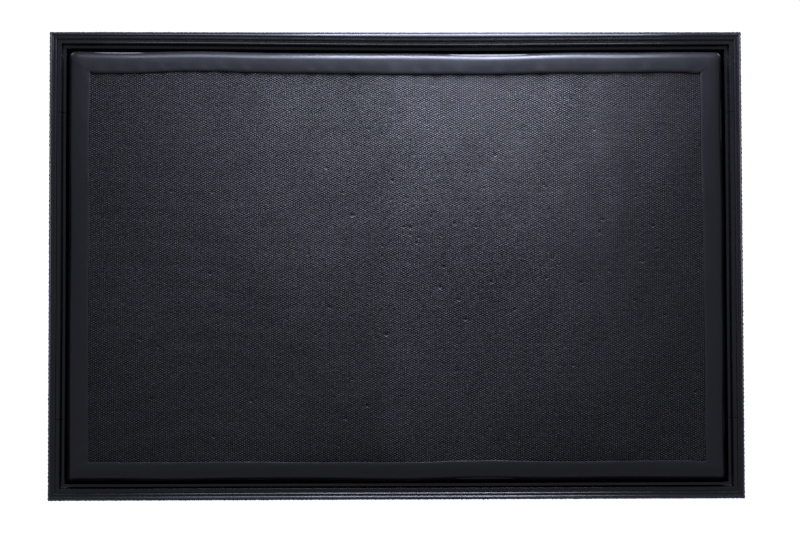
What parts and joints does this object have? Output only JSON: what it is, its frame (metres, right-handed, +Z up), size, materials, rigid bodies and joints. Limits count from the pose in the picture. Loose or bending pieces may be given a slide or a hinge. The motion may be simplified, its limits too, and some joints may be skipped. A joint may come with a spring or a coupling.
{
  "type": "wall punch pad",
  "caption": "Wall-mounted punch pad: pebbled strike face with a smooth border band, foam core and stepped black frame, hung on a hooked aluminium rail.",
  "frame": {"origin": "middle of the wall rail's row of screw holes, on the wall's face", "axes": "+X along the pad's width, +Y into the wall, +Z up; the strike face looks along -Y"},
  "size_m": [0.9, 0.0751, 0.607],
  "materials": {
    "frame_black": "satin",
    "band_vinyl": "satin",
    "strike_vinyl": "satin",
    "skin_vinyl": "satin",
    "core_foam": "matte",
    "top_foam": "matte",
    "plywood": "matte",
    "softwood": "matte",
    "rail_aluminium": "satin",
    "brace_steel": "satin",
    "screw_steel": "satin",
    "staple_steel": "satin",
    "foot_rubber": "matte"
  },
  "bodies": {
    "wall": {"wall_rail": "rail_aluminium"},
    "pad": {"back_board": "plywood", "batten_bottom": "softwood", "batten_left": "softwood", "batten_right": "softwood", "batten_screws": "screw_steel", "batten_top": "softwood", "border_band": "band_vinyl", "brace_screws": "screw_steel", "centre_stile": "softwood", "core_foam": "core_foam", "corner_brace_bottom_left": "brace_steel", "corner_brace_bottom_right": "brace_steel", "corner_brace_top_left": "brace_steel", "corner_brace_top_right": "brace_steel", "cover_staples": "staple_steel", "foot_screws": "screw_steel", "frame_rail_bottom": "frame_black", "frame_rail_left": "frame_black", "frame_rail_right": "frame_black", "frame_rail_top": "frame_black", "frame_screws": "screw_steel", "hanger_batten": "softwood", "pad_rail": "rail_aluminium", "pad_rail_screws": "screw_steel", "side_skin_bottom": "skin_vinyl", "side_skin_left": "skin_vinyl", "side_skin_right": "skin_vinyl", "side_skin_top": "skin_vinyl", "strike_sheet": "strike_vinyl", "top_foam": "top_foam", "trim_bottom": "frame_black", "trim_left_lower": "frame_black", "trim_left_middle": "frame_black", "trim_left_upper": "frame_black", "trim_right_lower": "frame_black", "trim_right_middle": "frame_black", "trim_right_upper": "frame_black", "trim_top": "frame_black", "wall_foot_bottom_left": "foot_rubber", "wall_foot_bottom_right": "foot_rubber", "wall_foot_top_left": "foot_rubber", "wall_foot_top_right": "foot_rubber"}
  },
  "joints": [
    {"name": "pad_lift", "type": "slide", "parent": "wall", "child": "pad", "axis": [0, 0, 1], "range_m": [0, 0.015]}
  ]
}
